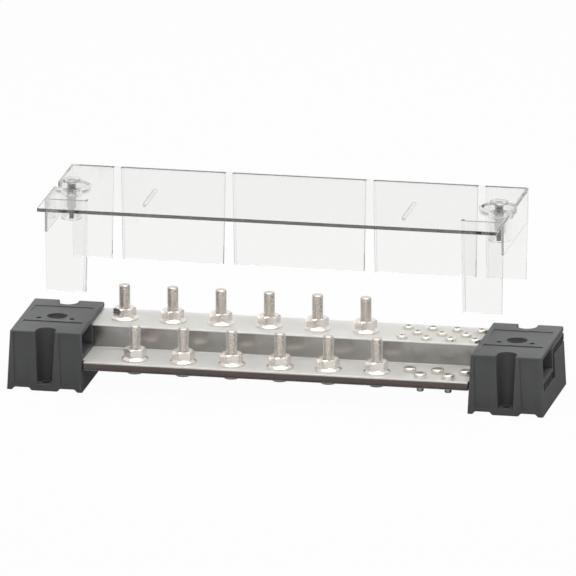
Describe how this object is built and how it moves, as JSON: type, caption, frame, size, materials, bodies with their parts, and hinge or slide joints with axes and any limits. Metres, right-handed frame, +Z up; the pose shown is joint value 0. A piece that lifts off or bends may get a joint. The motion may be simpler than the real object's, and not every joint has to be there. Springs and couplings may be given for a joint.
{
  "type": "bus bar",
  "caption": "Power distribution bus bar: stepped plated bar with studs and terminal screws on two insulating end supports, under a lift-off clear cover.",
  "frame": {"origin": "middle of the four mounting holes, on the mounting surface", "axes": "+X along the bar towards the terminal screws, +Y to the back where the upper flange is, +Z up from the mounting surface"},
  "size_m": [0.3878, 0.1221, 0.1465],
  "materials": {
    "tinned_copper": "satin tin plating over copper",
    "stainless_steel": "bright rolled thread",
    "nickel_steel": "nickel plated",
    "charcoal_nylon": "glass-filled, fine moulded texture",
    "clear_polycarbonate": "clear moulded",
    "smoke_polycarbonate": "smoky translucent moulded",
    "black_acetal": "moulded"
  },
  "bodies": {
    "root": {"bus_bar": "tinned_copper", "upper_stud_1": "stainless_steel", "upper_nut_1": "stainless_steel", "upper_stud_2": "stainless_steel", "upper_nut_2": "stainless_steel", "upper_stud_3": "stainless_steel", "upper_nut_3": "stainless_steel", "upper_stud_4": "stainless_steel", "upper_nut_4": "stainless_steel", "upper_stud_5": "stainless_steel", "upper_nut_5": "stainless_steel", "upper_stud_6": "stainless_steel", "upper_nut_6": "stainless_steel", "lower_stud_1": "stainless_steel", "lower_nut_1": "stainless_steel", "lower_stud_2": "stainless_steel", "lower_nut_2": "stainless_steel", "lower_stud_3": "stainless_steel", "lower_nut_3": "stainless_steel", "lower_stud_4": "stainless_steel", "lower_nut_4": "stainless_steel", "lower_stud_5": "stainless_steel", "lower_nut_5": "stainless_steel", "lower_stud_6": "stainless_steel", "lower_nut_6": "stainless_steel", "upper_screws_back": "nickel_steel", "upper_screws_middle": "nickel_steel", "upper_screws_front": "nickel_steel", "lower_screws_back": "nickel_steel", "lower_screws_front": "nickel_steel", "left_support_housing": "charcoal_nylon", "left_support_base": "charcoal_nylon", "right_support_housing": "charcoal_nylon", "right_support_base": "charcoal_nylon"},
    "cover": {"cover": "clear_polycarbonate"},
    "left_ring": {"left_retaining_ring": "black_acetal"},
    "left_fastener": {"left_fastener_stem": "black_acetal", "left_thumb_knob": "smoke_polycarbonate"},
    "right_ring": {"right_retaining_ring": "black_acetal"},
    "right_fastener": {"right_fastener_stem": "black_acetal", "right_thumb_knob": "smoke_polycarbonate"}
  },
  "joints": [
    {"name": "cover_lift", "type": "slide", "parent": "root", "child": "cover", "axis": [0, 0, 1], "range_m": [-0.0745, 0]},
    {"name": "left_fastener_press", "type": "slide", "parent": "cover", "child": "left_ring", "axis": [0, 0, 1], "range_m": [-0.004, 0]},
    {"name": "left_fastener_turn", "type": "hinge", "parent": "left_ring", "child": "left_fastener", "pos_m": [-0.1545, -0.0063, 0.14], "axis": [0, 0, 1], "continuous": true},
    {"name": "right_fastener_press", "type": "slide", "parent": "cover", "child": "right_ring", "axis": [0, 0, 1], "range_m": [-0.004, 0]},
    {"name": "right_fastener_turn", "type": "hinge", "parent": "right_ring", "child": "right_fastener", "pos_m": [0.1545, -0.0063, 0.14], "axis": [0, 0, 1], "continuous": true}
  ]
}
